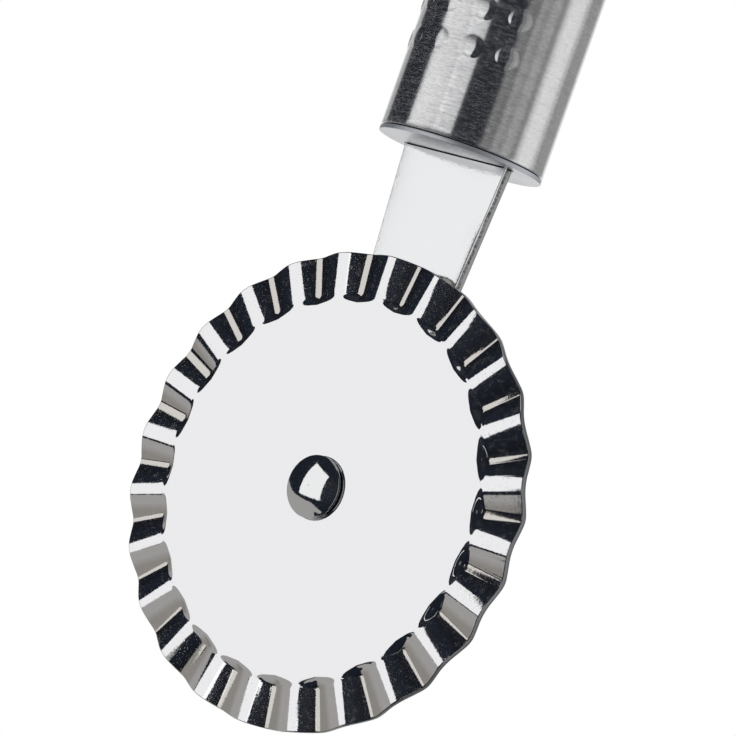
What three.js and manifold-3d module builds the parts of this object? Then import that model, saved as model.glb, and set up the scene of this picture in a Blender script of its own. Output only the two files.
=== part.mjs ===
// Pastry cutter wheel: a fluted disc that turns on a rivet at the end of a flat strip,
// and a round tubular handle with raised pips and a hanging loop.
// Millimetres, +Z up along the handle. The wheel is at the bottom and its lowest point is
// z = 0. The wheel's axis is parallel to Y and its polished face looks towards -Y.
// The handle's centre line is x = 0, y = 0.

import * as THREE from "three";
import { mergeVertices } from "three/addons/utils/BufferGeometryUtils.js";
import Module from "manifold-3d";

const wasm = await Module();
wasm.setup();

// Wheel. Depths are counted from the wheel's front face, towards the back.
const WHEEL_R = 28;
const SHEET = 0.8;
const BORE_R = 2.1;
const FLUTES = 24;
const FLUTE_DEPTH = 0.9;
const FLUTE_START_R = 22.3;
const FLUTE_FULL_R = 24.2;
const FLUTE_FLOOR_DEG = 1.1; // half the width of a flute's narrow floor
const FLUTE_MOUTH_DEG = 5.75; // half the width of a flute at the face
const FLUTE_TURN_DEG = 9.1; // from the handle's direction round to the first flute
const STEPS_PER_FLUTE = 6;

// Rivet, and what is stacked on it behind the wheel
const HEAD_R = 3.7;
const HEAD_WALL = 0.5;
const HEAD_DOME = 0.8;
const HEAD_GAP = 0.15;
const SHAFT_R = 2.0;
const LOOSE_R = 2.3; // bores of the spacer, strip and washer
const SPACER_R = 3.6;
const STACK_GAP = 0.15;
const FACE_TO_STRIP = 3.7;
const WASHER_R = 4.1;
const WASHER_T = 0.8;
const TAIL_R = 3.1;
const TAIL_DOME = 1.0;

// Strip, measured from the axle upwards
const STRIP_T = 1.5;
const STRIP_Y = -0.3; // the strip's middle plane, a little in front of the tube's centre line
const STRIP_W_AXLE = 8.8;
const STRIP_W_CAP = 15.2;
const TANG_END = 66;
const TANG_CORNER = 3;

// Handle
const CAP_ABOVE_AXLE = 41.7;
const TUBE_R = 9.95;
const WALL = 0.8;
const FLANGE = 0.5;
const SEAM = 0.15;
const SKIRT_R = TUBE_R - WALL - 0.15;
const SKIRT_T = 0.7;
const SKIRT_H = 6;
const SLOT_GAP = 0.3;
const REAR_FLANGE = 0.8;

// Pips pressed outwards in the tube
const PIP_R = 1.3;
const PIP_TOP_R = 0.7;
const PIP_H = 0.35;
const PIP_SIDES = 6;
const PIP_PITCH = 4.55;
const PIP_MARGIN = 10.6; // from the end of the tube to the middle of the nearest row
const PIP_ROWS = 20;
const PIP_COLUMNS = 5;
const PIP_STEP_DEG = 25;
const PIP_TURN_DEG = -5; // the middle column, from the wheel's face round towards +X

// Hanging loop
const WIRE_R = 1.35;
const LOOP_R = 5.5;
const LOOP_LEG = 8.5;
const LOOP_SUNK = 4;
const LOOP_HOLE_R = WIRE_R + 0.3;

const AXLE_Z = WHEEL_R;
const FACE_Y = STRIP_Y - STRIP_T / 2 - FACE_TO_STRIP;
const CAP_Z = AXLE_Z + CAP_ABOVE_AXLE;
const TUBE_Z = CAP_Z + FLANGE + SEAM;
const TUBE_L = 2 * PIP_MARGIN + (PIP_ROWS - 1) * PIP_PITCH;
const TUBE_TOP = TUBE_Z + TUBE_L;
const REAR_Z = TUBE_TOP + SEAM;
const REAR_TOP = REAR_Z + REAR_FLANGE;
const TAU = 2 * Math.PI;
const ROUND = 36; // facets round the tube and the caps
const SMALL_ROUND = 24; // facets round the rivet and its collars

const polished = () => steel(0xe2e4e7, 0.08);
const brushed = () => steel(0xc9cacc, 0.28);
const plain = () => steel(0xb4b6b9, 0.35);

function steel(color, roughness) {
  return new THREE.MeshStandardMaterial({ color, roughness, metalness: 1 });
}

// A geometry with only merged positions, and with its faces pointing out
function closed(geometry) {
  const bare = geometry.clone();
  bare.deleteAttribute("normal");
  bare.deleteAttribute("uv");
  const merged = dropSlivers(mergeVertices(bare, 1e-4));
  if (signedVolume(merged) < 0) {
    merged.index.array.reverse();
  }
  return merged;
}

// Triangles that shrank to a line when vertices merged, as on a lathe's axis
function dropSlivers(geometry) {
  const corners = Array.from(geometry.index.array);
  const kept = [];
  for (let i = 0; i < corners.length; i += 3) {
    const [a, b, c] = corners.slice(i, i + 3);
    if (a !== b && b !== c && c !== a) {
      kept.push(a, b, c);
    }
  }
  geometry.setIndex(kept);
  return geometry;
}

function signedVolume(geometry) {
  const point = (i) => new THREE.Vector3().fromBufferAttribute(geometry.attributes.position, i);
  const corners = geometry.index.array;
  let sum = 0;
  for (let i = 0; i < corners.length; i += 3) {
    const [a, b, c] = [point(corners[i]), point(corners[i + 1]), point(corners[i + 2])];
    sum += a.dot(b.cross(c)) / 6;
  }
  return sum;
}

function solid(geometry) {
  const body = closed(geometry);
  return new wasm.Manifold(new wasm.Mesh({
    numProp: 3,
    vertProperties: new Float32Array(body.attributes.position.array),
    triVerts: new Uint32Array(body.index.array),
  }));
}

function fromSolid(manifold) {
  const mesh = manifold.getMesh();
  const geometry = new THREE.BufferGeometry();
  geometry.setAttribute("position", new THREE.BufferAttribute(mesh.vertProperties, 3));
  geometry.setIndex(new THREE.BufferAttribute(mesh.triVerts, 1));
  return geometry;
}

// Turned about the handle's centre line. The profile is a list of [radius, height].
function turnedZ(profile, segments) {
  const points = profile.map(([r, z]) => new THREE.Vector2(r, z));
  return new THREE.LatheGeometry(points, segments).rotateX(Math.PI / 2);
}

// Turned about the wheel's axis. The profile is a list of [radius, depth behind the face].
function turnedY(profile, segments) {
  const points = profile.map(([r, depth]) => new THREE.Vector2(r, depth));
  return new THREE.LatheGeometry(points, segments).translate(0, FACE_Y, AXLE_Z);
}

// A low dome as [radius, depth] points, from its top on the axis out to its rim
function dome(rimR, rimDepth, height, steps) {
  const points = [];
  for (let i = 0; i <= steps; i += 1) {
    const r = (rimR * i) / steps;
    points.push([r, rimDepth + height * (1 - (r / rimR) ** 2)]);
  }
  return points;
}

function extruded(shape, depth, curveSegments) {
  return new THREE.ExtrudeGeometry(shape, { depth, curveSegments, bevelEnabled: false });
}

// How far the sheet is pressed back at an angle from a flute's middle, from 0 to 1
function fluteAt(degrees, r) {
  const across = (FLUTE_MOUTH_DEG - Math.abs(degrees)) / (FLUTE_MOUTH_DEG - FLUTE_FLOOR_DEG);
  const along = THREE.MathUtils.smoothstep(r, FLUTE_START_R, FLUTE_FULL_R);
  return THREE.MathUtils.clamp(across, 0, 1) * along;
}

function flutedWheel() {
  const pitch = 360 / FLUTES;
  const rings = [BORE_R, FLUTE_START_R, FLUTE_FULL_R, WHEEL_R];
  const front = rings.map((r) => [r, 0]);
  const back = rings.map((r) => [r, SHEET]).reverse();
  const disc = turnedY([...front, ...back, front[0]], FLUTES * STEPS_PER_FLUTE);
  disc.translate(0, 0, -AXLE_Z);
  const position = disc.attributes.position;
  for (let i = 0; i < position.count; i += 1) {
    const [x, z] = [position.getX(i), position.getZ(i)];
    const turn = THREE.MathUtils.radToDeg(Math.atan2(z, x));
    const fromFlute = THREE.MathUtils.euclideanModulo(turn + pitch / 2, pitch) - pitch / 2;
    position.setY(i, position.getY(i) + FLUTE_DEPTH * fluteAt(fromFlute, Math.hypot(x, z)));
  }
  const firstFlute = THREE.MathUtils.degToRad(90 + FLUTE_TURN_DEG);
  return disc.rotateY(-firstFlute).translate(0, 0, AXLE_Z);
}

function axleRivet() {
  const headBack = -HEAD_GAP;
  const headRim = headBack - HEAD_WALL;
  const tailFront = FACE_TO_STRIP + STRIP_T + WASHER_T + 3 * STACK_GAP;
  const head = dome(HEAD_R, headRim, -HEAD_DOME, 4);
  const tail = dome(TAIL_R, tailFront + HEAD_WALL, TAIL_DOME, 3).reverse();
  return turnedY([...head, [HEAD_R, headBack], [SHAFT_R, headBack],
    [SHAFT_R, tailFront], [TAIL_R, tailFront], ...tail], SMALL_ROUND);
}

function collar(innerR, outerR, frontDepth, thickness) {
  const backDepth = frontDepth + thickness;
  return turnedY([[innerR, frontDepth], [outerR, frontDepth], [outerR, backDepth],
    [innerR, backDepth], [innerR, frontDepth]], SMALL_ROUND);
}

function wheelSpacer() {
  const room = FACE_TO_STRIP - SHEET;
  return collar(LOOSE_R, SPACER_R, SHEET + STACK_GAP, room - 2 * STACK_GAP);
}

function rearWasher() {
  return collar(LOOSE_R, WASHER_R, FACE_TO_STRIP + STRIP_T + STACK_GAP, WASHER_T);
}

// The strip widens evenly from the axle to the cap, and its tang is parallel above that.
function strip() {
  const [low, high] = [STRIP_W_AXLE / 2, STRIP_W_CAP / 2];
  const taper = Math.atan2(high - low, CAP_ABOVE_AXLE);
  const cornerZ = AXLE_Z + TANG_END - TANG_CORNER;
  const shape = new THREE.Shape();
  shape.absarc(0, AXLE_Z, low, Math.PI - taper, TAU + taper, false);
  shape.lineTo(high, CAP_Z);
  shape.lineTo(high, cornerZ);
  shape.absarc(high - TANG_CORNER, cornerZ, TANG_CORNER, 0, Math.PI / 2, false);
  shape.absarc(TANG_CORNER - high, cornerZ, TANG_CORNER, Math.PI / 2, Math.PI, false);
  shape.lineTo(-high, CAP_Z);
  shape.holes.push(new THREE.Path().absarc(0, AXLE_Z, LOOSE_R, 0, TAU, true));
  return extruded(shape, STRIP_T, 12).rotateX(Math.PI / 2).translate(0, STRIP_Y + STRIP_T / 2, 0);
}

// A cap's flange and the skirt that fits inside the tube, with a small edge chamfer.
// The flange's outer face is at height 0 and the skirt points up.
function capBlank(flange) {
  const edge = 0.12;
  const inner = SKIRT_R - SKIRT_T;
  return turnedZ([[0, 0], [TUBE_R - edge, 0], [TUBE_R, edge], [TUBE_R, flange], [SKIRT_R, flange],
    [SKIRT_R, SKIRT_H], [inner, SKIRT_H], [inner, flange], [0, flange]], ROUND);
}

function frontCap() {
  const [halfW, halfT] = [STRIP_W_CAP / 2 + SLOT_GAP, STRIP_T / 2 + SLOT_GAP];
  const outline = new THREE.Shape();
  outline.absarc(halfW - halfT, 0, halfT, -Math.PI / 2, Math.PI / 2, false);
  outline.absarc(halfT - halfW, 0, halfT, Math.PI / 2, 1.5 * Math.PI, false);
  const slot = extruded(outline, FLANGE + 2, 6).translate(0, STRIP_Y, -1);
  return fromSolid(solid(capBlank(FLANGE)).subtract(solid(slot))).translate(0, 0, CAP_Z);
}

function rearCap() {
  let cap = solid(capBlank(REAR_FLANGE));
  for (const side of [-1, 1]) {
    const drill = turnedZ([[0, -1], [LOOP_HOLE_R, -1], [LOOP_HOLE_R, 2], [0, 2]], 16);
    cap = cap.subtract(solid(drill.translate(side * LOOP_R, 0, 0)));
  }
  return fromSolid(cap).rotateX(Math.PI).translate(0, 0, REAR_TOP);
}

// One pip, pointing along -Y and seated in the tube's wall
function pip() {
  const [seat, top] = [TUBE_R - WALL / 2, TUBE_R + PIP_H];
  const profile = [[0, seat], [PIP_R, seat], [PIP_R, TUBE_R - 0.05], [PIP_TOP_R, top], [0, top]];
  return turnedZ(profile, PIP_SIDES).rotateX(Math.PI / 2);
}

function handleTube() {
  const inner = TUBE_R - WALL;
  const wall = [[inner, 0], [TUBE_R, 0], [TUBE_R, TUBE_L], [inner, TUBE_L], [inner, 0]];
  let tube = solid(turnedZ(wall, ROUND));
  for (let column = 0; column < PIP_COLUMNS; column += 1) {
    const degrees = PIP_TURN_DEG + (column - (PIP_COLUMNS - 1) / 2) * PIP_STEP_DEG;
    for (let row = 0; row < PIP_ROWS; row += 1) {
      const placed = pip().rotateZ(THREE.MathUtils.degToRad(degrees));
      tube = tube.add(solid(placed.translate(0, 0, PIP_MARGIN + row * PIP_PITCH)));
    }
  }
  return fromSolid(tube).translate(0, 0, TUBE_Z);
}

// The centre line of the loop: up one leg, over a half circle and down the other leg
class LoopLine extends THREE.Curve {
  getPoint(t, target = new THREE.Vector3()) {
    const [leg, arc] = [LOOP_LEG + LOOP_SUNK, Math.PI * LOOP_R];
    const along = t * (2 * leg + arc);
    if (along < leg) {
      return target.set(-LOOP_R, 0, along - leg);
    }
    if (along > leg + arc) {
      return target.set(LOOP_R, 0, leg + arc - along);
    }
    const angle = Math.PI - (along - leg) / LOOP_R;
    return target.set(LOOP_R * Math.cos(angle), 0, LOOP_R * Math.sin(angle));
  }
}

function hangingLoop() {
  const section = new THREE.Shape().absarc(0, 0, WIRE_R, 0, TAU, false);
  const wire = new THREE.ExtrudeGeometry(section,
    { steps: 28, curveSegments: 5, bevelEnabled: false, extrudePath: new LoopLine() });
  return wire.translate(0, 0, REAR_TOP + LOOP_LEG);
}

const object = new THREE.Group();

function addNode(name, geometry, material) {
  const mesh = new THREE.Mesh(closed(geometry), material);
  mesh.name = name;
  object.add(mesh);
}

addNode("fluted_wheel", flutedWheel(), polished());
addNode("axle_rivet", axleRivet(), polished());
addNode("wheel_spacer", wheelSpacer(), plain());
addNode("shank_strip", strip(), polished());
addNode("rear_washer", rearWasher(), plain());
addNode("front_cap", frontCap(), polished());
addNode("handle_tube", handleTube(), brushed());
addNode("rear_cap", rearCap(), polished());
addNode("hanging_loop", hangingLoop(), polished());

export default object;
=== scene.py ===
"""The looks of the pastry cutter wheel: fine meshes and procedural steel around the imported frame.

Metres, +Z up along the handle, the wheel's polished face towards -Y. Depths on the wheel are
counted from its face towards the back. Angles round the handle and of the studio are counted
from -Y towards +X.
"""

import math

import bmesh
import bpy
import numpy as np
from mathutils import Matrix, Vector


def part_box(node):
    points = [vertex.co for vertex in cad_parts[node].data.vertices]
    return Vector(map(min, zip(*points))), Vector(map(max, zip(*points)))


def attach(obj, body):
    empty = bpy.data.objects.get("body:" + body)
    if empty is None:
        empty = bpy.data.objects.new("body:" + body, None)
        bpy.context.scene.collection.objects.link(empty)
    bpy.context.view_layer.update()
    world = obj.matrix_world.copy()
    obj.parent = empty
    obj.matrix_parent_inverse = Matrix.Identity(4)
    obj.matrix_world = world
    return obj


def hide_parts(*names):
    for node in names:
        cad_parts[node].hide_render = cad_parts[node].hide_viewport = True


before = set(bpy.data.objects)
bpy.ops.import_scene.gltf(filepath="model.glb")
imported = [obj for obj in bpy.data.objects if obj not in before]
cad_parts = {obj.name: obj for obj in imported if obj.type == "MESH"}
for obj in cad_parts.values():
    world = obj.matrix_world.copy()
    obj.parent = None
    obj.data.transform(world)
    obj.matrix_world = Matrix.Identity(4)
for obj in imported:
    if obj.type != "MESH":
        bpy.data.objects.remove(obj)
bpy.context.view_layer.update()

MM = 0.001


def span(node, axis):
    """The lowest and highest coordinate of a CAD node along an axis."""
    low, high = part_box(node)
    return low[axis], high[axis]


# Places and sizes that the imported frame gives
WHEEL_R = (span("fluted_wheel", 0)[1] - span("fluted_wheel", 0)[0]) / 2
AXLE_Z = sum(span("fluted_wheel", 2)) / 2
FACE_Y = span("fluted_wheel", 1)[0]
HEAD_Y, TAIL_Y = span("axle_rivet", 1)
HEAD_R = span("axle_rivet", 0)[1]
STRIP_FRONT, STRIP_BACK = span("shank_strip", 1)
STRIP_TOP = span("shank_strip", 2)[1]
STRIP_CAP_HALF = span("shank_strip", 0)[1]
CAP_LOW, CAP_HIGH = span("front_cap", 2)
CAP_R = span("front_cap", 0)[1]
TUBE_LOW, TUBE_HIGH = span("handle_tube", 2)
TUBE_R = span("handle_tube", 0)[1]
REAR_LOW, REAR_HIGH = span("rear_cap", 2)
LOOP_LOW, LOOP_HIGH = span("hanging_loop", 2)
LOOP_OUTER = span("hanging_loop", 0)[1]
WIRE_R = (span("hanging_loop", 1)[1] - span("hanging_loop", 1)[0]) / 2
SPACER_FRONT, SPACER_BACK = span("wheel_spacer", 1)
SPACER_R = span("wheel_spacer", 0)[1]
WASHER_FRONT, WASHER_BACK = span("rear_washer", 1)
WASHER_R = span("rear_washer", 0)[1]

# Wheel
FLUTES = 24
FLUTE_TURN = math.radians(9.2)  # from the handle's direction round to the first flute
SHEET = 0.8 * MM
BORE_R = 2.1 * MM
RIM_EDGE = 0.12 * MM  # the rounding of the rim's and the bore's corners
RIM_FACING = 0.8  # how squarely a face looks outwards to count as the cut rim
FLUTE_START = 22.1 * MM  # from the axle to the flutes' inner ends
MOUTH_START = 2.22 * MM  # half the width of a flute's mouth at its inner end
MOUTH_SPREAD = 0.13  # how fast that half width grows towards the rim
FLOOR_HALF = 0.36 * MM  # half the width of a flute's floor
FACET_SLOPE = math.tan(math.radians(20.5))
END_SLOPE = 3.2  # steepness of a flute's inner end, compared with its sides
END_POINT = 0.12  # how far the inner end draws out to a point
END_ROUND = 1.5 * MM  # the rounding between a flute's sides and its inner end
FLOOR_ROUND = 0.36 * MM  # the rounding between its sides and its floor
LIP = 0.7 * MM  # the rounding of its mouth
END_LIP = 0.15 * MM  # how much rounder the mouth is at the inner end
END_LIP_REACH = 1.5 * MM  # how far out that goes

# Rivet
SHAFT_R = 2.0 * MM
HEAD_WALL = 0.5 * MM
HEAD_DOME = 0.8 * MM
TAIL_R = 3.1 * MM
TAIL_DOME = 1.0 * MM
TAIL_GAP = 0.15 * MM
TAIL_EDGE = 0.1 * MM
HEAD_EDGE = 0.12 * MM  # the chamfer between the dome and the head's wall
HEAD_UNDER = 0.08 * MM  # the chamfer under the head
AXIS_GAP = 0.01 * MM  # a turned profile stops just short of its axis

# Strip
STRIP_AXLE_HALF = 4.4 * MM  # half its width at the axle
STRIP_CORNER = 3 * MM
STRIP_EDGE = 0.09 * MM
SIDE_FACING = 0.3  # how little a face looks forwards or back to count as the cut edge
LOOSE_R = 2.3 * MM  # the holes round the rivet's shaft
COLLAR_EDGE = 0.15 * MM
SMOOTH_STRIP = 40  # degrees between faces, above which an edge is sharp
SMOOTH_ROUND = 50

# Handle
FLANGE = 0.5 * MM
REAR_FLANGE = 0.8 * MM
CAP_EDGE = 0.05 * MM
CAP_RIM_FACING = 0.5  # how squarely a face looks outwards to count as a cap's rim
REAR_EDGE = 0.2 * MM
WALL = 0.8 * MM
TUBE_EDGE = 0.1 * MM
SKIRT_WALL = 0.7 * MM
SKIRT_GAP = 0.15 * MM  # between the skirt and the inside of the tube
SKIRT_EDGE = 0.1 * MM
SKIRT_DROP = 0.25 * MM  # between the flange and the skirt
SLOT_GAP = 0.3 * MM
SLOT_END_GAP = 0.45 * MM
SEAM_INSET = 0.25 * MM  # how far the painted seam shade stays inside the cap's rim
SEAM_EDGE = 0.01 * MM
SLOT_SHADE_END = 0.12 * MM  # how far the painted shade in the slot's gap reaches past the strip's edges
SLOT_SHADE_SIDE = 0.14 * MM  # and past its faces
SLOT_SHADE_HALF = 0.11 * MM  # half its height
SLOT_SHADE_EDGE = 0.03 * MM
CAP_STEPS = 192  # points round a cap's rim
LEG_GAP = 0.08 * MM  # round the loop's legs
PIP_R = 1.35 * MM
PIP_H = 0.18 * MM
PIP_PITCH = 4.55 * MM
PIP_MARGIN = 10.6 * MM
PIP_ROWS = 20
PIP_COLUMNS = 5
PIP_STEP = math.radians(25)
PIP_TURN = math.radians(-5)  # the middle column
PIP_POWER = 1.7  # how flat a pip's top is
PIP_FOOT = 0.16  # how softly it runs out into the tube
HEIGHT_STEPS = (0.15 * MM, 0.6 * MM)  # the tube's grid on the pips and between them
TURN_STEPS = (0.85 * math.radians(1), 3 * math.radians(1))

# Camera
VIEW_AZIMUTH = math.radians(38.05)
VIEW_RISE = math.radians(-1.67)
VIEW_ROLL = math.radians(19.54)
VIEW_DISTANCE = 306 * MM
VIEW_AIM = Vector((0.9, 0.6, 14.9)) * MM  # from the middle of the wheel's face
LENS = 130.4  # millimetres, on a sensor SENSOR millimetres wide
SENSOR = 36
NEAREST = 10 * MM


# ---------------------------------------------------------------- mesh helpers


def add_mesh(name, points, faces, material, smooth=True):
    """A new object in the scene, from points and faces."""
    mesh = bpy.data.meshes.new(name)
    mesh.from_pydata([tuple(p) for p in points], [], faces)
    mesh.validate()
    mesh.update()
    for polygon in mesh.polygons:
        polygon.use_smooth = smooth
    piece = bpy.data.objects.new(name, mesh)
    bpy.context.scene.collection.objects.link(piece)
    mesh.materials.append(material)
    return piece


def torus_faces(rows, columns):
    """Quads of a grid closed both ways. Point (row, column) has number row * columns + column."""
    faces = []
    for i in range(rows):
        below = ((i + 1) % rows) * columns
        for j in range(columns):
            k = (j + 1) % columns
            faces.append((i * columns + j, i * columns + k, below + k, below + j))
    return faces


def face_out(piece):
    """Turns every face outwards."""
    shape = bmesh.new()
    shape.from_mesh(piece.data)
    bmesh.ops.remove_doubles(shape, verts=shape.verts, dist=1e-7)
    bmesh.ops.recalc_face_normals(shape, faces=shape.faces)
    shape.to_mesh(piece.data)
    shape.free()
    return piece


def rounded(profile, radius, steps=4):
    """A closed profile whose corners are rounded by short arcs."""
    points = []
    count = len(profile)
    for i in range(count):
        before, corner, after = (np.array(profile[(i + k) % count], float) for k in (-1, 0, 1))
        to_before, to_after = before - corner, after - corner
        length = min(np.linalg.norm(to_before), np.linalg.norm(to_after))
        cut = min(radius, 0.45 * length)
        start = corner + to_before / np.linalg.norm(to_before) * cut
        end = corner + to_after / np.linalg.norm(to_after) * cut
        for k in range(steps + 1):
            t = k / steps
            points.append((1 - t) ** 2 * start + 2 * t * (1 - t) * corner + t * t * end)
    return points


def turned(name, profile, axis, centre, material, steps=160):
    """A solid of revolution. The profile is a closed list of (radius, height along the axis)."""
    count = len(profile)
    angles = np.linspace(0, 2 * np.pi, steps, endpoint=False)
    points = []
    for r, h in profile:
        for a in angles:
            if axis == "Y":
                points.append((centre[0] + r * np.cos(a), h, centre[1] + r * np.sin(a)))
            else:
                points.append((centre[0] + r * np.cos(a), centre[1] + r * np.sin(a), h))
    return face_out(add_mesh(name, points, torus_faces(count, steps), material))


def plate_from_outlines(name, outlines, half_thickness, edge, material):
    """A flat plate with rounded edges in the X-Y plane. The first closed outline is the outside."""
    curve = bpy.data.curves.new(name, "CURVE")
    curve.dimensions = "2D"
    curve.fill_mode = "BOTH"
    curve.extrude = half_thickness - edge
    curve.bevel_depth = edge
    curve.bevel_resolution = 3
    curve.offset = -edge
    for outline in outlines:
        spline = curve.splines.new("POLY")
        spline.points.add(len(outline) - 1)
        for point, (x, y) in zip(spline.points, outline):
            point.co = (x, y, 0, 1)
        spline.use_cyclic_u = True
    holder = bpy.data.objects.new(name + "_curve", curve)
    bpy.context.scene.collection.objects.link(holder)
    bpy.context.view_layer.update()
    mesh = bpy.data.meshes.new_from_object(holder.evaluated_get(bpy.context.evaluated_depsgraph_get()))
    bpy.data.objects.remove(holder)
    piece = bpy.data.objects.new(name, mesh)
    bpy.context.scene.collection.objects.link(piece)
    mesh.materials.clear()
    mesh.materials.append(material)
    return face_out(piece)


def arc(centre, radius, start, end, steps):
    """Points of an arc, both ends included."""
    angles = np.linspace(start, end, steps)
    return [(centre[0] + radius * np.cos(a), centre[1] + radius * np.sin(a)) for a in angles]


def circle(centre, radius, steps):
    """The points of a whole circle, each one once."""
    return arc(centre, radius, 0, 2 * math.pi * (steps - 1) / steps, steps)


def smooth_by_angle(piece, degrees):
    """Smooth shading with sharp edges where faces meet at more than the angle."""
    mesh = piece.data
    for polygon in mesh.polygons:
        polygon.use_smooth = True
    mesh.set_sharp_from_angle(angle=math.radians(degrees))


def fit(piece, body, slot, *nodes):
    """Puts a piece on its body and hides the CAD nodes it stands for. The slot, a finish's name, is not
    used.
    """
    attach(piece, body)
    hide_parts(*nodes)


# ------------------------------------------------------------------- materials


class Nodes:
    """A few short forms for a node tree."""

    def __init__(self, tree):
        self.tree = tree

    def add(self, kind, **values):
        node = self.tree.nodes.new(kind)
        for key, value in values.items():
            setattr(node, key, value)
        return node

    def link(self, source, target):
        self.tree.links.new(source, target)

    def math(self, operation, a, b=None):
        node = self.add("ShaderNodeMath", operation=operation)
        for socket, value in zip(node.inputs, (a, b)):
            if value is None:
                continue
            if isinstance(value, (int, float)):
                socket.default_value = value
            else:
                self.link(value, socket)
        return node.outputs[0]

    def noise(self, vector, scale, detail, roughness=0.5):
        node = self.add("ShaderNodeTexNoise")
        node.inputs["Scale"].default_value = scale
        node.inputs["Detail"].default_value = detail
        node.inputs["Roughness"].default_value = roughness
        self.link(vector, node.inputs["Vector"])
        return node.outputs["Fac"]

    def stretched(self, vector, scale):
        node = self.add("ShaderNodeMapping")
        node.inputs["Scale"].default_value = scale
        self.link(vector, node.inputs["Vector"])
        return node.outputs["Vector"]

    def remap(self, value, low, high, to_low, to_high):
        node = self.add("ShaderNodeMapRange")
        limits = {"From Min": low, "From Max": high, "To Min": to_low, "To Max": to_high}
        for key, number in limits.items():
            node.inputs[key].default_value = number
        self.link(value, node.inputs["Value"])
        return node.outputs["Result"]

    def mix(self, factor, a, b):
        node = self.add("ShaderNodeMix", data_type="RGBA")
        self.link(factor, node.inputs["Factor"])
        for socket, colour in ((node.inputs[6], a), (node.inputs[7], b)):
            if isinstance(colour, tuple):
                socket.default_value = (*colour, 1)
            else:
                self.link(colour, socket)
        return node.outputs[2]


# Polished steel: noise scales per metre, and how the pits, the haze and the worn zone show
CLOUD_SCALE = 90
RIPPLE_SCALE = 2600
PIT_SCALE = 5200
HAZE_SCALE = 1300
CLOUD_RANGE = (0.3, 0.7)  # the part of a noise that shows, from where it starts to where it is full
PIT_RANGE = (0.65, 0.78)
HAZE_RANGE = (0.45, 0.75)
HAZE_MOST = 0.45
POLISH_HEIGHT = 0.01 * MM  # relief
PIT_TINT = 0.8
PIT_ROUGHNESS = 0.3
PIT_DEPTH = 0.5
DIRTY_METAL = 0.82  # how metallic the dirtiest spots are
WORN_FROM = 21.5 * MM
WORN_REACH = 1.5 * MM
UNWORN = 0.2  # the share of the specks on the flat middle
GROOVE_DEPTH = 0.35 * MM
GROOVE_REACH = 0.3 * MM
GROOVE_TINT = (0.66, 0.63, 0.6)  # the duller, warmer floors of the flutes

# Brushed steel: the rings and scratches are noise with a low scale round the girth and a high one along
RING_SCALE = (120, 120, 3600)
SCRATCH_SCALE = (1300, 1300, 6200)
RING_SHARE = 0.35
BRUSH_CLOUD_SCALE = 160
BRUSH_RANGE = (0.38, 0.6)
BRUSH_DARK = 0.84  # the darkest scratches, as a share of the tint
BRUSH_ROUGHNESS = (0.26, 0.21)  # in the dark scratches and between them
BRUSH_HEIGHT = 0.0006 * MM

# Sheared steel
TEAR_SCALE = (3500, 1500, 3500)
TORN_HEIGHT = 0.04 * MM


def new_material(name):
    """A metal, with its node helper, its shader and the place on the piece."""
    material = bpy.data.materials.new(name)
    material.use_nodes = True
    tree = material.node_tree
    shader = next(n for n in tree.nodes if n.type == "BSDF_PRINCIPLED")
    shader.inputs["Metallic"].default_value = 1.0
    nodes = Nodes(tree)
    place = nodes.add("ShaderNodeTexCoord").outputs["Object"]
    return material, nodes, shader, place


def finish_shader(nodes, shader, colour, roughness, height, distance):
    """Links the colour, the roughness and a bump to the shader."""
    nodes.link(colour, shader.inputs["Base Color"])
    nodes.link(roughness, shader.inputs["Roughness"])
    bump = nodes.add("ShaderNodeBump")
    bump.inputs["Distance"].default_value = distance
    bump.inputs["Strength"].default_value = 1.0
    nodes.link(height, bump.inputs["Height"])
    nodes.link(bump.outputs["Normal"], shader.inputs["Normal"])


def polished_steel(name, tint, roughness, ripple, specks, worn_from=None, groove=None):
    """Mirror-polished sheet: faint clouds, buffing ripple, haze and scattered dull pits.

    On the wheel the pits and the haze grow strong from the radius worn_from outwards, and the
    colour turns to GROOVE_TINT from the depth groove on.
    """
    material, nodes, shader, place = new_material(name)
    cloud = nodes.noise(place, CLOUD_SCALE, 3)
    waves = nodes.noise(place, RIPPLE_SCALE, 3, 0.6)
    pits = nodes.remap(nodes.noise(place, PIT_SCALE, 2, 0.7), *PIT_RANGE, 0, 1)
    haze = nodes.remap(nodes.noise(place, HAZE_SCALE, 4, 0.7), *HAZE_RANGE, 0, HAZE_MOST)
    amount = specks
    if worn_from:
        radius = wheel_radius(nodes, place)
        amount = nodes.remap(radius, worn_from, worn_from + WORN_REACH, UNWORN * specks, specks)
    pits = nodes.math("MULTIPLY", pits, amount)
    dirt = nodes.math("ADD", pits, nodes.math("MULTIPLY", haze, amount))
    colour = nodes.mix(pits, tint, tuple(PIT_TINT * c for c in tint))
    if groove:
        split = nodes.add("ShaderNodeSeparateXYZ")
        nodes.link(place, split.inputs[0])
        deep = nodes.remap(split.outputs["Y"], groove, groove + GROOVE_REACH, 0, 1)
        colour = nodes.mix(deep, colour, GROOVE_TINT)
    clouded = nodes.remap(cloud, *CLOUD_RANGE, 0.85 * roughness, 1.2 * roughness)
    rough = nodes.math("ADD", clouded, nodes.math("MULTIPLY", pits, PIT_ROUGHNESS))
    rippled = nodes.math("MULTIPLY", waves, ripple)
    height = nodes.math("SUBTRACT", rippled, nodes.math("MULTIPLY", pits, PIT_DEPTH))
    finish_shader(nodes, shader, colour, rough, height, POLISH_HEIGHT)
    nodes.link(nodes.remap(dirt, 0.1, 1, 1.0, DIRTY_METAL), shader.inputs["Metallic"])
    return material


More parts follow.
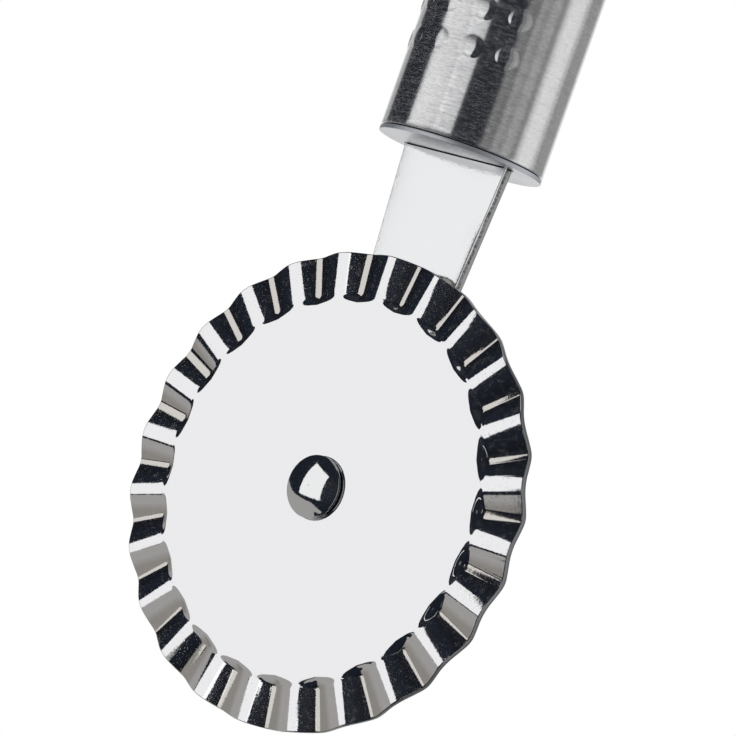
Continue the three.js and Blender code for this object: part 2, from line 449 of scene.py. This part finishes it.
def wheel_radius(nodes, place):
    """Distance from the axle's line."""
    centred = nodes.add("ShaderNodeMapping")
    centred.inputs["Location"].default_value = (0, 0, -AXLE_Z)
    centred.inputs["Scale"].default_value = (1, 0, 1)
    nodes.link(place, centred.inputs["Vector"])
    length = nodes.add("ShaderNodeVectorMath", operation="LENGTH")
    nodes.link(centred.outputs["Vector"], length.inputs[0])
    return length.outputs["Value"]


def brushed_steel(name, tint):
    """A tube brushed round its girth: fine rings, short scratches and soft cloudiness."""
    material, nodes, shader, place = new_material(name)
    rings = nodes.noise(nodes.stretched(place, RING_SCALE), 1.0, 4, 0.7)
    scratches = nodes.noise(nodes.stretched(place, SCRATCH_SCALE), 1.0, 3, 0.7)
    cloud = nodes.remap(nodes.noise(place, BRUSH_CLOUD_SCALE, 3), *CLOUD_RANGE, -0.01, 0.01)
    rings = nodes.math("MULTIPLY", rings, RING_SHARE)
    scratches = nodes.math("MULTIPLY", scratches, 1 - RING_SHARE)
    shade = nodes.math("ADD", rings, scratches)
    bright = nodes.remap(shade, *BRUSH_RANGE, 0, 1)
    colour = nodes.mix(bright, tuple(BRUSH_DARK * c for c in tint), tint)
    rough = nodes.math("ADD", nodes.remap(shade, *BRUSH_RANGE, *BRUSH_ROUGHNESS), cloud)
    finish_shader(nodes, shader, colour, rough, shade, BRUSH_HEIGHT)
    nodes.link(nodes.remap(shade, 0.47, 0.62, 1.0, 0.9), shader.inputs["Metallic"])
    shader.inputs["Anisotropic"].default_value = 1.0
    shader.inputs["Anisotropic Rotation"].default_value = 0.25
    tangent = nodes.add("ShaderNodeTangent", direction_type="RADIAL", axis="Z")
    nodes.link(tangent.outputs["Tangent"], shader.inputs["Tangent"])
    return material


def sheared_steel(name, tint, front, back):
    """A cut edge: a bright line in front that is a painted highlight on the edge's bevel, a torn streaky
    zone, and a smoother one behind.

    The zones' limits are shares of the thickness, from front to back.
    """
    material, nodes, shader, place = new_material(name)
    split = nodes.add("ShaderNodeSeparateXYZ")
    nodes.link(place, split.inputs[0])
    through = nodes.remap(split.outputs["Y"], front, back, 0, 1)
    wander = nodes.remap(nodes.noise(place, 500, 3), *CLOUD_RANGE, -0.07, 0.07)
    level = nodes.math("ADD", through, wander)
    streaks = nodes.noise(nodes.stretched(place, TEAR_SCALE), 1.0, 4, 0.75)
    corner = nodes.remap(through, 0.05, 0.07, 1, 0)
    # A bright line near the front of the cut edge is a painted highlight, standing for the light on its
    # bevel
    painted_highlight = nodes.math("SUBTRACT", nodes.remap(level, 0.16, 0.2, 1, 0), corner)
    behind_painted_highlight = nodes.remap(level, 0.2, 0.24, 0, 1)
    torn = nodes.math("MULTIPLY", behind_painted_highlight, nodes.remap(level, 0.5, 0.6, 1, 0))
    torn_shade = nodes.remap(streaks, 0.4, 0.62, 0.1, 1.3)
    smooth_shade = nodes.remap(streaks, 0.3, 0.7, 0.85, 1.05)
    mixed = nodes.add("ShaderNodeMix", data_type="FLOAT")
    nodes.link(torn, mixed.inputs[0])
    nodes.link(smooth_shade, mixed.inputs[2])
    nodes.link(torn_shade, mixed.inputs[3])
    steel = nodes.mix(mixed.outputs[0], (0.02, 0.02, 0.02), tint)
    # The painted highlight: a near-white line mixed into the edge's colour
    colour = nodes.mix(painted_highlight, steel, (0.9, 0.9, 0.9))
    rough = nodes.remap(torn, 0, 1, 0.38, 0.6)
    height = nodes.math("MULTIPLY", streaks, nodes.remap(torn, 0, 1, 0.1, 1))
    finish_shader(nodes, shader, colour, rough, height, TORN_HEIGHT)
    return material


# A name and a tint, and for polished steel how rough, rippled and specked it is
WHEEL_STEEL = polished_steel(
    "wheel_steel", (0.87, 0.87, 0.885), 0.05, 0.45, 0.8, WORN_FROM, FACE_Y + GROOVE_DEPTH
)
RIVET_STEEL = polished_steel("rivet_steel", (0.86, 0.865, 0.87), 0.05, 0.3, 0.4)
STRIP_STEEL = polished_steel("strip_steel", (0.86, 0.87, 0.885), 0.1, 0.7, 0.25)
CAP_STEEL = polished_steel("cap_steel", (0.76, 0.775, 0.79), 0.28, 0.7, 0.4)
RIM_STEEL = polished_steel("rim_steel", (0.72, 0.75, 0.79), 0.5, 0.7, 0.4)
# Near-black steel for the painted shade in the seam under the tube and in the slot's gap round the strip
PAINTED_SHADE_STEEL = polished_steel("painted_shade_steel", (0.03, 0.03, 0.032), 0.6, 1.0, 0.4)
WIRE_STEEL = polished_steel("wire_steel", (0.8, 0.81, 0.82), 0.1, 0.8, 0.4)
TURNED_STEEL = polished_steel("turned_steel", (0.62, 0.62, 0.63), 0.28, 1.0, 0.8)
TUBE_STEEL = brushed_steel("tube_steel", (0.88, 0.88, 0.89))
STRIP_EDGE_STEEL = sheared_steel("strip_edge_steel", (0.5, 0.5, 0.5), STRIP_FRONT, STRIP_BACK)
WHEEL_EDGE_STEEL = polished_steel("wheel_edge_steel", (0.24, 0.245, 0.255), 0.3, 1.0, 0.6)


# ----------------------------------------------------------------------- wheel


def smooth_min(a, b, width):
    """The lower of two values, rounded where they cross."""
    h = np.maximum(width - np.abs(a - b), 0) / width
    return np.minimum(a, b) - h * h * width / 4


def flute_depth(r, angle):
    """How far the sheet is pressed back, at a radius and an angle from the nearest flute's middle."""
    along, across = r * np.cos(angle), np.abs(r * np.sin(angle))
    mouth = MOUTH_START + MOUTH_SPREAD * (along - FLUTE_START)
    side = mouth - across
    floor = mouth - FLOOR_HALF
    end = END_SLOPE * (along - FLUTE_START - END_POINT * across)
    reach = smooth_min(smooth_min(side, end, END_ROUND), floor, FLOOR_ROUND)
    inward = np.clip(1 - (along - FLUTE_START) / END_LIP_REACH, 0, 1)
    lip = LIP + END_LIP * inward
    raised = -smooth_min(-reach, np.zeros_like(reach), lip)
    return FACET_SLOPE * raised


def fluted_wheel():
    """The disc as one grid: a row is a ring, and a column goes out along the front and back in.

    The rings are few on the flat middle, close at the flutes' inner ends and a little wider beyond.
    """
    flat = np.array([BORE_R + RIM_EDGE, 4.5 * MM, 12 * MM, 20 * MM])
    inner_ends = np.arange(21.6 * MM, 23.4 * MM, 0.07 * MM)
    flutes = np.arange(23.45 * MM, WHEEL_R - RIM_EDGE, 0.13 * MM)
    face = np.concatenate([flat, inner_ends, flutes])
    quarter = np.linspace(0, np.pi / 2, 4)
    corner = [(WHEEL_R - RIM_EDGE * (1 - np.sin(t)), RIM_EDGE * (1 - np.cos(t))) for t in quarter]
    front = [(r, 0.0) for r in face] + corner
    back = [(r, SHEET - d) for r, d in reversed(corner)] + [(r, SHEET) for r in face[::-1]]
    profile = [(BORE_R, RIM_EDGE)] + front + back + [(BORE_R, SHEET - RIM_EDGE)]
    per_flute = 48
    angles = np.arange(FLUTES * per_flute) * 2 * np.pi / (FLUTES * per_flute)
    pitch = 2 * np.pi / FLUTES
    nearest = (angles + pitch / 2) % pitch - pitch / 2
    turned_by = angles + math.pi / 2 + FLUTE_TURN
    points = []
    for r, depth in profile:
        pressed = depth + flute_depth(np.full_like(nearest, r), nearest)
        x, z = r * np.cos(turned_by), AXLE_Z + r * np.sin(turned_by)
        points.extend(np.stack([x, FACE_Y + pressed, z], axis=1))
    faces = torus_faces(len(profile), len(angles))
    piece = face_out(add_mesh("fluted_disc", points, faces, WHEEL_STEEL))
    piece.data.materials.append(WHEEL_EDGE_STEEL)
    for polygon in piece.data.polygons:
        outward = Vector((polygon.center.x, 0, polygon.center.z - AXLE_Z)).normalized()
        polygon.material_index = 1 if polygon.normal.dot(outward) > RIM_FACING else 0
    fit(piece, "wheel", "polished_steel", "fluted_wheel")


def dome(rim_r, rim_h, height, steps):
    """Points from the middle of a low dome out to its rim."""
    radii = np.linspace(0.0, rim_r, steps)
    return [(max(r, AXIS_GAP), rim_h + height * (1 - (r / rim_r) ** 2)) for r in radii]


def axle_rivet():
    """The domed head, the shaft and the peened tail in one turned piece."""
    rim = HEAD_Y + HEAD_DOME
    seat = rim + HEAD_WALL
    head = dome(HEAD_R - HEAD_EDGE, rim, -HEAD_DOME, 40)
    wall = [
        (HEAD_R - HEAD_EDGE / 3, rim + HEAD_EDGE / 3),
        (HEAD_R, rim + HEAD_EDGE),
        (HEAD_R, seat - HEAD_UNDER),
        (HEAD_R - HEAD_UNDER, seat),
        (SHAFT_R, seat),
    ]
    tail_rim = TAIL_Y - TAIL_DOME
    tail_front = WASHER_BACK + TAIL_GAP
    tail = [
        (SHAFT_R, tail_front),
        (TAIL_R - TAIL_EDGE, tail_front),
        (TAIL_R, tail_front + TAIL_EDGE),
        (TAIL_R, tail_rim),
    ]
    tail += dome(TAIL_R - TAIL_EDGE / 2, tail_rim, TAIL_DOME, 30)[::-1]
    piece = turned("rivet", head + wall + tail, "Y", (0, AXLE_Z), RIVET_STEEL, 192)
    fit(piece, "handle", "rivet_steel", "axle_rivet")


def collars():
    """The spacer between wheel and strip, and the washer under the rivet's tail."""
    for name, node, front, back, outer in (
        ("spacer_collar", "wheel_spacer", SPACER_FRONT, SPACER_BACK, SPACER_R),
        ("tail_washer", "rear_washer", WASHER_FRONT, WASHER_BACK, WASHER_R),
    ):
        profile = [(LOOSE_R, front), (outer, front), (outer, back), (LOOSE_R, back)]
        piece = turned(name, rounded(profile, COLLAR_EDGE), "Y", (0, AXLE_Z), TURNED_STEEL)
        fit(piece, "handle", "plain_steel", node)


# ----------------------------------------------------------------------- strip


def strip():
    """The flat tapered strip, from its round end at the rivet to the end of its tang."""
    middle = (STRIP_FRONT + STRIP_BACK) / 2
    taper = math.atan2(STRIP_CAP_HALF - STRIP_AXLE_HALF, CAP_LOW - AXLE_Z)
    outline = arc((0, AXLE_Z), STRIP_AXLE_HALF, math.pi - taper, 2 * math.pi + taper, 64)
    outline += [(STRIP_CAP_HALF, CAP_LOW)]
    corner_x, corner_z = STRIP_CAP_HALF - STRIP_CORNER, STRIP_TOP - STRIP_CORNER
    outline += arc((corner_x, corner_z), STRIP_CORNER, 0, math.pi / 2, 12)
    outline += arc((-corner_x, corner_z), STRIP_CORNER, math.pi / 2, math.pi, 12)
    outline += [(-STRIP_CAP_HALF, CAP_LOW)]
    hole = circle((0, AXLE_Z), LOOSE_R, 48)
    half_t = (STRIP_BACK - STRIP_FRONT) / 2
    piece = plate_from_outlines("strip", [outline, hole], half_t, STRIP_EDGE, STRIP_STEEL)
    piece.data.transform(Matrix.Translation((0, middle, 0)) @ Matrix.Rotation(math.pi / 2, 4, "X"))
    piece.data.materials.append(STRIP_EDGE_STEEL)
    for polygon in piece.data.polygons:
        polygon.material_index = 1 if abs(polygon.normal.y) < SIDE_FACING else 0
    smooth_by_angle(piece, SMOOTH_STRIP)
    fit(piece, "handle", "strip_steel", "shank_strip")


# ---------------------------------------------------------------------- handle


def skirt(name, low, high, node):
    """The ring of a cap that fits inside the tube."""
    outer = CAP_R - WALL - SKIRT_GAP
    inner = outer - SKIRT_WALL
    profile = [(inner, low), (outer, low), (outer, high), (inner, high)]
    piece = turned(name, rounded(profile, SKIRT_EDGE, 2), "Z", (0, 0), CAP_STEEL, 96)
    fit(piece, "handle", "cap_steel", node)


def rounded_slot(half_length, half_width, middle):
    """The outline of a slot with round ends."""
    reach = half_length - half_width
    slot = arc((reach, middle), half_width, -math.pi / 2, math.pi / 2, 16)
    return slot + arc((-reach, middle), half_width, math.pi / 2, 1.5 * math.pi, 16)


def rim_finish(piece, material):
    """Gives the faces round the rim of a cap their own finish."""
    piece.data.materials.append(material)
    for polygon in piece.data.polygons:
        outward = Vector((polygon.center.x, polygon.center.y, 0)).normalized()
        if polygon.normal.dot(outward) > CAP_RIM_FACING:
            polygon.material_index = 1


def front_cap():
    """The flat cap with its slot and skirt, and painted shade in the seam under the tube and round the
    strip.
    """
    middle = (STRIP_FRONT + STRIP_BACK) / 2
    half_t = (STRIP_BACK - STRIP_FRONT) / 2
    slot = rounded_slot(STRIP_CAP_HALF + SLOT_END_GAP, half_t + SLOT_GAP, middle)
    rim = circle((0, 0), CAP_R, CAP_STEPS)
    piece = plate_from_outlines("end_cap", [rim, slot], FLANGE / 2, CAP_EDGE, CAP_STEEL)
    piece.data.transform(Matrix.Translation((0, 0, CAP_LOW + FLANGE / 2)))
    rim_finish(piece, RIM_STEEL)
    smooth_by_angle(piece, SMOOTH_ROUND)
    fit(piece, "handle", "cap_steel", "front_cap")
    skirt("end_cap_skirt", CAP_LOW + FLANGE + SKIRT_DROP, CAP_HIGH, "front_cap")
    seam = circle((0, 0), CAP_R - SEAM_INSET, CAP_STEPS)
    seam_half = (TUBE_LOW - CAP_LOW - FLANGE) / 2
    # A near-black plate in the gap between the cap's flange and the tube: painted shade in the seam
    seam_shade = plate_from_outlines("painted_seam_shade", [seam], seam_half, SEAM_EDGE, PAINTED_SHADE_STEEL)
    seam_shade.data.transform(Matrix.Translation((0, 0, (TUBE_LOW + CAP_LOW + FLANGE) / 2)))
    smooth_by_angle(seam_shade, SMOOTH_ROUND)
    fit(seam_shade, "handle", "cap_steel", "front_cap")
    # A near-black ring in the slot's gap round the strip: painted shade where the strip enters the cap
    slot_shade_outline = rounded_slot(STRIP_CAP_HALF + SLOT_SHADE_END, half_t + SLOT_SHADE_SIDE, middle)
    slot_shade = plate_from_outlines("painted_slot_shade", [slot_shade_outline], SLOT_SHADE_HALF, SLOT_SHADE_EDGE, PAINTED_SHADE_STEEL)
    slot_shade.data.transform(Matrix.Translation((0, 0, CAP_LOW)))
    smooth_by_angle(slot_shade, SMOOTH_ROUND)
    fit(slot_shade, "handle", "cap_steel", "front_cap")


def rear_cap():
    """The cap at the far end, with two holes for the loop's legs."""
    leg_x = LOOP_OUTER - WIRE_R
    rim = circle((0, 0), CAP_R, CAP_STEPS)
    holes = [circle((side * leg_x, 0), WIRE_R + LEG_GAP, 32) for side in (-1, 1)]
    piece = plate_from_outlines("top_cap", [rim, *holes], REAR_FLANGE / 2, REAR_EDGE, CAP_STEEL)
    piece.data.transform(Matrix.Translation((0, 0, REAR_HIGH - REAR_FLANGE / 2)))
    rim_finish(piece, RIM_STEEL)
    smooth_by_angle(piece, SMOOTH_ROUND)
    fit(piece, "handle", "cap_steel", "rear_cap")
    skirt("top_cap_skirt", REAR_LOW, REAR_HIGH - REAR_FLANGE - SKIRT_DROP, "rear_cap")


def hanging_loop():
    """The bent wire: two straight legs and a half circle."""
    bend_r = LOOP_OUTER - WIRE_R
    bend_z = LOOP_HIGH - LOOP_OUTER
    path = [(-bend_r, z) for z in np.linspace(LOOP_LOW, bend_z, 14)[:-1]]
    path += arc((0, bend_z), bend_r, math.pi, 0, 49)
    path += [(bend_r, z) for z in np.linspace(bend_z, LOOP_LOW, 14)[1:]]
    path = np.array(path)
    along = np.gradient(path, axis=0)
    along /= np.linalg.norm(along, axis=1)[:, None]
    sides = 28
    points, faces = [], []
    for (x, z), (dx, dz) in zip(path, along):
        for a in np.arange(sides) * 2 * np.pi / sides:
            out = WIRE_R * np.cos(a)
            points.append((x + out * dz, WIRE_R * np.sin(a), z - out * dx))
    for i in range(len(path) - 1):
        for j in range(sides):
            k = (j + 1) % sides
            above = (i + 1) * sides
            faces.append((i * sides + j, i * sides + k, above + k, above + j))
    faces.append(tuple(range(sides)))
    faces.append(tuple(range((len(path) - 1) * sides, len(path) * sides)))
    piece = face_out(add_mesh("wire_loop", points, faces, WIRE_STEEL))
    smooth_by_angle(piece, SMOOTH_ROUND)
    fit(piece, "handle", "wire_steel", "hanging_loop")


def pip_height(angle, z):
    """How far the tube's skin is raised at an angle round the tube and a height above its lower end."""
    column = np.clip(np.round((angle - PIP_TURN) / PIP_STEP), -(PIP_COLUMNS // 2), PIP_COLUMNS // 2)
    row = np.clip(np.round((z - PIP_MARGIN) / PIP_PITCH), 0, PIP_ROWS - 1)
    across = (angle - PIP_TURN - column * PIP_STEP) * TUBE_R
    along = z - PIP_MARGIN - row * PIP_PITCH
    reach = 1 - ((across**2 + along**2) / PIP_R**2) ** PIP_POWER
    return PIP_H * -smooth_min(-reach, np.zeros_like(reach), PIP_FOOT)


def spread_steps(marks, half_width, fine, coarse, low, high):
    """Steps from low to high, fine within half_width of each mark and coarse elsewhere."""
    steps, at = [low], low
    while at < high - 1e-9:
        near = min(abs(at - m) for m in marks)
        at += fine if near <= half_width + coarse else coarse
        steps.append(min(at, high))
    return np.array(steps)


def handle_tube():
    """The tube as one grid: a row is a ring, and a column goes up the skin and back down the inside."""
    length = TUBE_HIGH - TUBE_LOW
    rows = [PIP_MARGIN + i * PIP_PITCH for i in range(PIP_ROWS)]
    columns = [PIP_TURN + (i - PIP_COLUMNS // 2) * PIP_STEP for i in range(PIP_COLUMNS)]
    heights = spread_steps(rows, PIP_R, *HEIGHT_STEPS, TUBE_EDGE, length - TUBE_EDGE)
    angles = spread_steps(columns, PIP_R / TUBE_R, *TURN_STEPS, -math.pi, math.pi)[:-1]
    ends = [("top", "outside"), ("top", "inside"), ("bottom", "inside"), ("bottom", "outside")]
    loop = [("skin", h) for h in heights] + ends
    points = []
    for kind, value in loop:
        if kind == "skin":
            radius, z = TUBE_R + pip_height(angles, np.full_like(angles, value)), value
        else:
            radius = np.full_like(angles, TUBE_R - (TUBE_EDGE if value == "outside" else WALL))
            z = length if kind == "top" else 0.0
        x, y = radius * np.sin(angles), -radius * np.cos(angles)
        points.extend(np.stack([x, y, np.full_like(angles, TUBE_LOW + z)], axis=1))
    piece = face_out(add_mesh("tube", points, torus_faces(len(loop), len(angles)), TUBE_STEEL))
    smooth_by_angle(piece, SMOOTH_ROUND)
    fit(piece, "handle", "brushed_steel", "handle_tube")


# ---------------------------------------------------------------------- studio

# What the steel mirrors round the horizon: from an angle in degrees on, how bright the studio is
STUDIO = [
    (-141, 0.75), (-122, 0.42), (-104, 0.014), (58, 0.2), (67, 0.16), (74, 0.32), (82, 0.26),
    (90, 0.36), (103, 0.2), (112, 0.55), (118, 0.8), (146, 0.55), (154, 0.3), (192, 0.75),
]
STUDIO_BLUR = 0.004  # half the width of a step, as a share of the whole turn
UNLIT = 0.02  # a level below this is shown in the colour of the shade
SHADE = (0.011, 0.014, 0.021)  # the unlit parts of the studio
UPPER_SHADE = (0.022, 0.025, 0.032)
OVERHEAD_LIGHT = (0.75, 0.75, 0.75)
# How high a direction points, as a sine, where one part of the studio turns into the next
WALL_FOOT = (-0.75, -0.7)
WALL_TOP = (0.7, 0.75)
OVERHEAD_EDGE = (0.93, 0.96)

MIDDLE = Vector((0, FACE_Y, AXLE_Z))  # of the wheel's face
SOFTBOX_LEVEL = 0.95
SIDE_LEVEL = 1.2
SOFTBOX_AWAY = 1.5
# The softboxes' corners: angle round and angle up from the middle of the face, in degrees
MAIN_BOX = ((-48, 27), (-10, 20), (-10, -17), (-55, -13))
SIDE_BOX = ((-10, 20), (-3, 15), (16, 13), (16, -19), (-10, -17))
# The dark flags' corners in x and z, in millimetres, and how far in front of the handle they stand
LOW_FLAG_Y = -65
LOW_FLAG = (
    (-22, -40), (34, -40), (34, 46), (10, 46), (0, 52), (-9, 52),
    (-9, 5), (4, 5), (4, -1), (-5, -1), (-5, -16), (-22, -16),
)
HIGH_FLAG_Y = -35
HIGH_FLAG = (
    (-9.5, 55), (-4, 52.5), (1.5, 48), (8.5, 42), (8.5, 36), (34, 36), (34, 65), (-9.5, 65),
)
# The grey card's top edge, in millimetres from the middle of the face, and how far it hangs down
CARD_GREY = (0.36, 0.353, 0.342)
CARD_EDGE = ((-240, 130, 80), (-110, -40, -25), (-55, -115, -55), (-5, -180, -115))
CARD_DROP = Vector((0, 0, -0.4))


def seen_at(azimuth, rise, distance):
    """The place that lies in a direction from the middle of the wheel's face."""
    azimuth, rise = math.radians(azimuth), math.radians(rise)
    level = math.cos(rise)
    toward = Vector((math.sin(azimuth) * level, -math.cos(azimuth) * level, math.sin(rise)))
    return MIDDLE + distance * toward


def panel(name, corners, colour):
    """A flat glowing panel of one colour that only reflections see."""
    material = bpy.data.materials.new(name)
    material.use_nodes = True
    tree = material.node_tree
    tree.nodes.clear()
    nodes = Nodes(tree)
    glow = nodes.add("ShaderNodeEmission")
    glow.inputs["Color"].default_value = (*colour, 1)
    output = nodes.add("ShaderNodeOutputMaterial")
    nodes.link(glow.outputs[0], output.inputs["Surface"])
    piece = add_mesh(name, corners, [tuple(range(len(corners)))], material, smooth=False)
    piece.visible_camera = False
    piece.visible_diffuse = False
    piece.visible_shadow = False


def studio_panels():
    """A softbox in two parts, dark flags between it and the wheel, and a low grey card at the left."""
    boxes = (("softbox", MAIN_BOX, SOFTBOX_LEVEL), ("softbox_side", SIDE_BOX, SIDE_LEVEL))
    for name, box, level in boxes:
        panel(name, [seen_at(azimuth, rise, SOFTBOX_AWAY) for azimuth, rise in box], (level,) * 3)
    flags = (("low_flag", LOW_FLAG, LOW_FLAG_Y), ("high_flag", HIGH_FLAG, HIGH_FLAG_Y))
    for name, flag, y in flags:
        panel(name, [Vector((x, y, z)) * MM for x, z in flag], SHADE)
    card = [MIDDLE + Vector(corner) * MM for corner in CARD_EDGE]
    for i, (left, right) in enumerate(zip(card, card[1:])):
        panel(f"grey_card_{i}", [left, right, right + CARD_DROP, left + CARD_DROP], CARD_GREY)


def studio_world():
    """Lit and dark parts of the studio for the steel to mirror. All else sees a plain white room."""
    world = bpy.data.worlds.new("studio")
    bpy.context.scene.world = world
    world.use_nodes = True
    tree = world.node_tree
    tree.nodes.clear()
    nodes = Nodes(tree)
    toward = nodes.add("ShaderNodeTexCoord").outputs["Generated"]
    split = nodes.add("ShaderNodeSeparateXYZ")
    nodes.link(toward, split.inputs[0])
    x, y, z = split.outputs
    azimuth = nodes.math("ARCTAN2", x, nodes.math("MULTIPLY", y, -1.0))
    first = math.radians(STUDIO[0][0])
    turn = nodes.math("DIVIDE", nodes.math("SUBTRACT", azimuth, first), 2 * math.pi)
    ramp = nodes.add("ShaderNodeValToRGB")
    nodes.link(nodes.math("FRACT", turn), ramp.inputs["Fac"])
    fill_ramp(ramp.color_ramp)
    low = nodes.remap(z, *WALL_FOOT, 0, 1)
    high = nodes.remap(z, *WALL_TOP, 0, 1)
    overhead = nodes.remap(z, *OVERHEAD_EDGE, 0, 1)
    walls = nodes.mix(low, SHADE, ramp.outputs["Color"])
    top = nodes.mix(overhead, UPPER_SHADE, OVERHEAD_LIGHT)
    seen_by_steel = nodes.mix(high, walls, top)
    ray = nodes.add("ShaderNodeLightPath")
    colour = nodes.mix(ray.outputs["Is Glossy Ray"], (1.0, 1.0, 1.0), seen_by_steel)
    background = nodes.add("ShaderNodeBackground")
    nodes.link(colour, background.inputs["Color"])
    output = nodes.add("ShaderNodeOutputWorld")
    nodes.link(background.outputs[0], output.inputs["Surface"])


def fill_ramp(ramp):
    """Soft-edged steps from one studio level to the next."""
    first, level = STUDIO[0]
    while len(ramp.elements) > 1:
        ramp.elements.remove(ramp.elements[0])
    ramp.elements[0].position = 0.0
    ramp.elements[0].color = (level, level, level, 1)
    for start, next_level in STUDIO[1:]:
        at = (start - first) / 360
        for place, value in ((at - STUDIO_BLUR, level), (at + STUDIO_BLUR, next_level)):
            element = ramp.elements.new(place)
            element.color = SHADE + (1,) if value < UNLIT else (value, value, value, 1)
        level = next_level


def floor():
    """A plain pale round floor below the hanging tool. The steel doesn't mirror it."""
    radius, drop, steps = 0.8, 0.2, 96  # metres, and points round the rim
    rim = [(x, y, -drop) for x, y in circle((0, 0), radius, steps)]
    material = bpy.data.materials.new("pale_floor")
    material.use_nodes = True
    shader = next(n for n in material.node_tree.nodes if n.type == "BSDF_PRINCIPLED")
    shader.inputs["Base Color"].default_value = (0.95, 0.95, 0.95, 1)
    shader.inputs["Roughness"].default_value = 0.9
    shader.inputs["Specular IOR Level"].default_value = 0.0
    piece = add_mesh("studio_floor", rim, [tuple(range(steps))], material, smooth=False)
    piece.visible_glossy = False


def camera():
    """The camera at the viewing angle, rolled about its own axis."""
    scene = bpy.context.scene
    data = bpy.data.cameras.new("camera")
    data.lens = LENS
    data.sensor_width = SENSOR
    data.clip_start = NEAREST
    holder = bpy.data.objects.new("camera", data)
    scene.collection.objects.link(holder)
    scene.camera = holder
    level = math.cos(VIEW_RISE)
    back = Vector((math.sin(VIEW_AZIMUTH) * level, -math.cos(VIEW_AZIMUTH) * level, math.sin(VIEW_RISE)))
    aim = MIDDLE + VIEW_AIM
    right = Vector((0, 0, 1)).cross(back).normalized()
    up = back.cross(right)
    turned_up = up * math.cos(VIEW_ROLL) - right * math.sin(VIEW_ROLL)
    turned_right = turned_up.cross(back)
    axes = Matrix((turned_right, turned_up, back)).transposed().to_4x4()
    holder.matrix_world = Matrix.Translation(aim + back * VIEW_DISTANCE) @ axes


bpy.context.scene.view_settings.view_transform = "Standard"
fluted_wheel()
axle_rivet()
collars()
strip()
front_cap()
rear_cap()
hanging_loop()
handle_tube()
studio_panels()
studio_world()
floor()
camera()
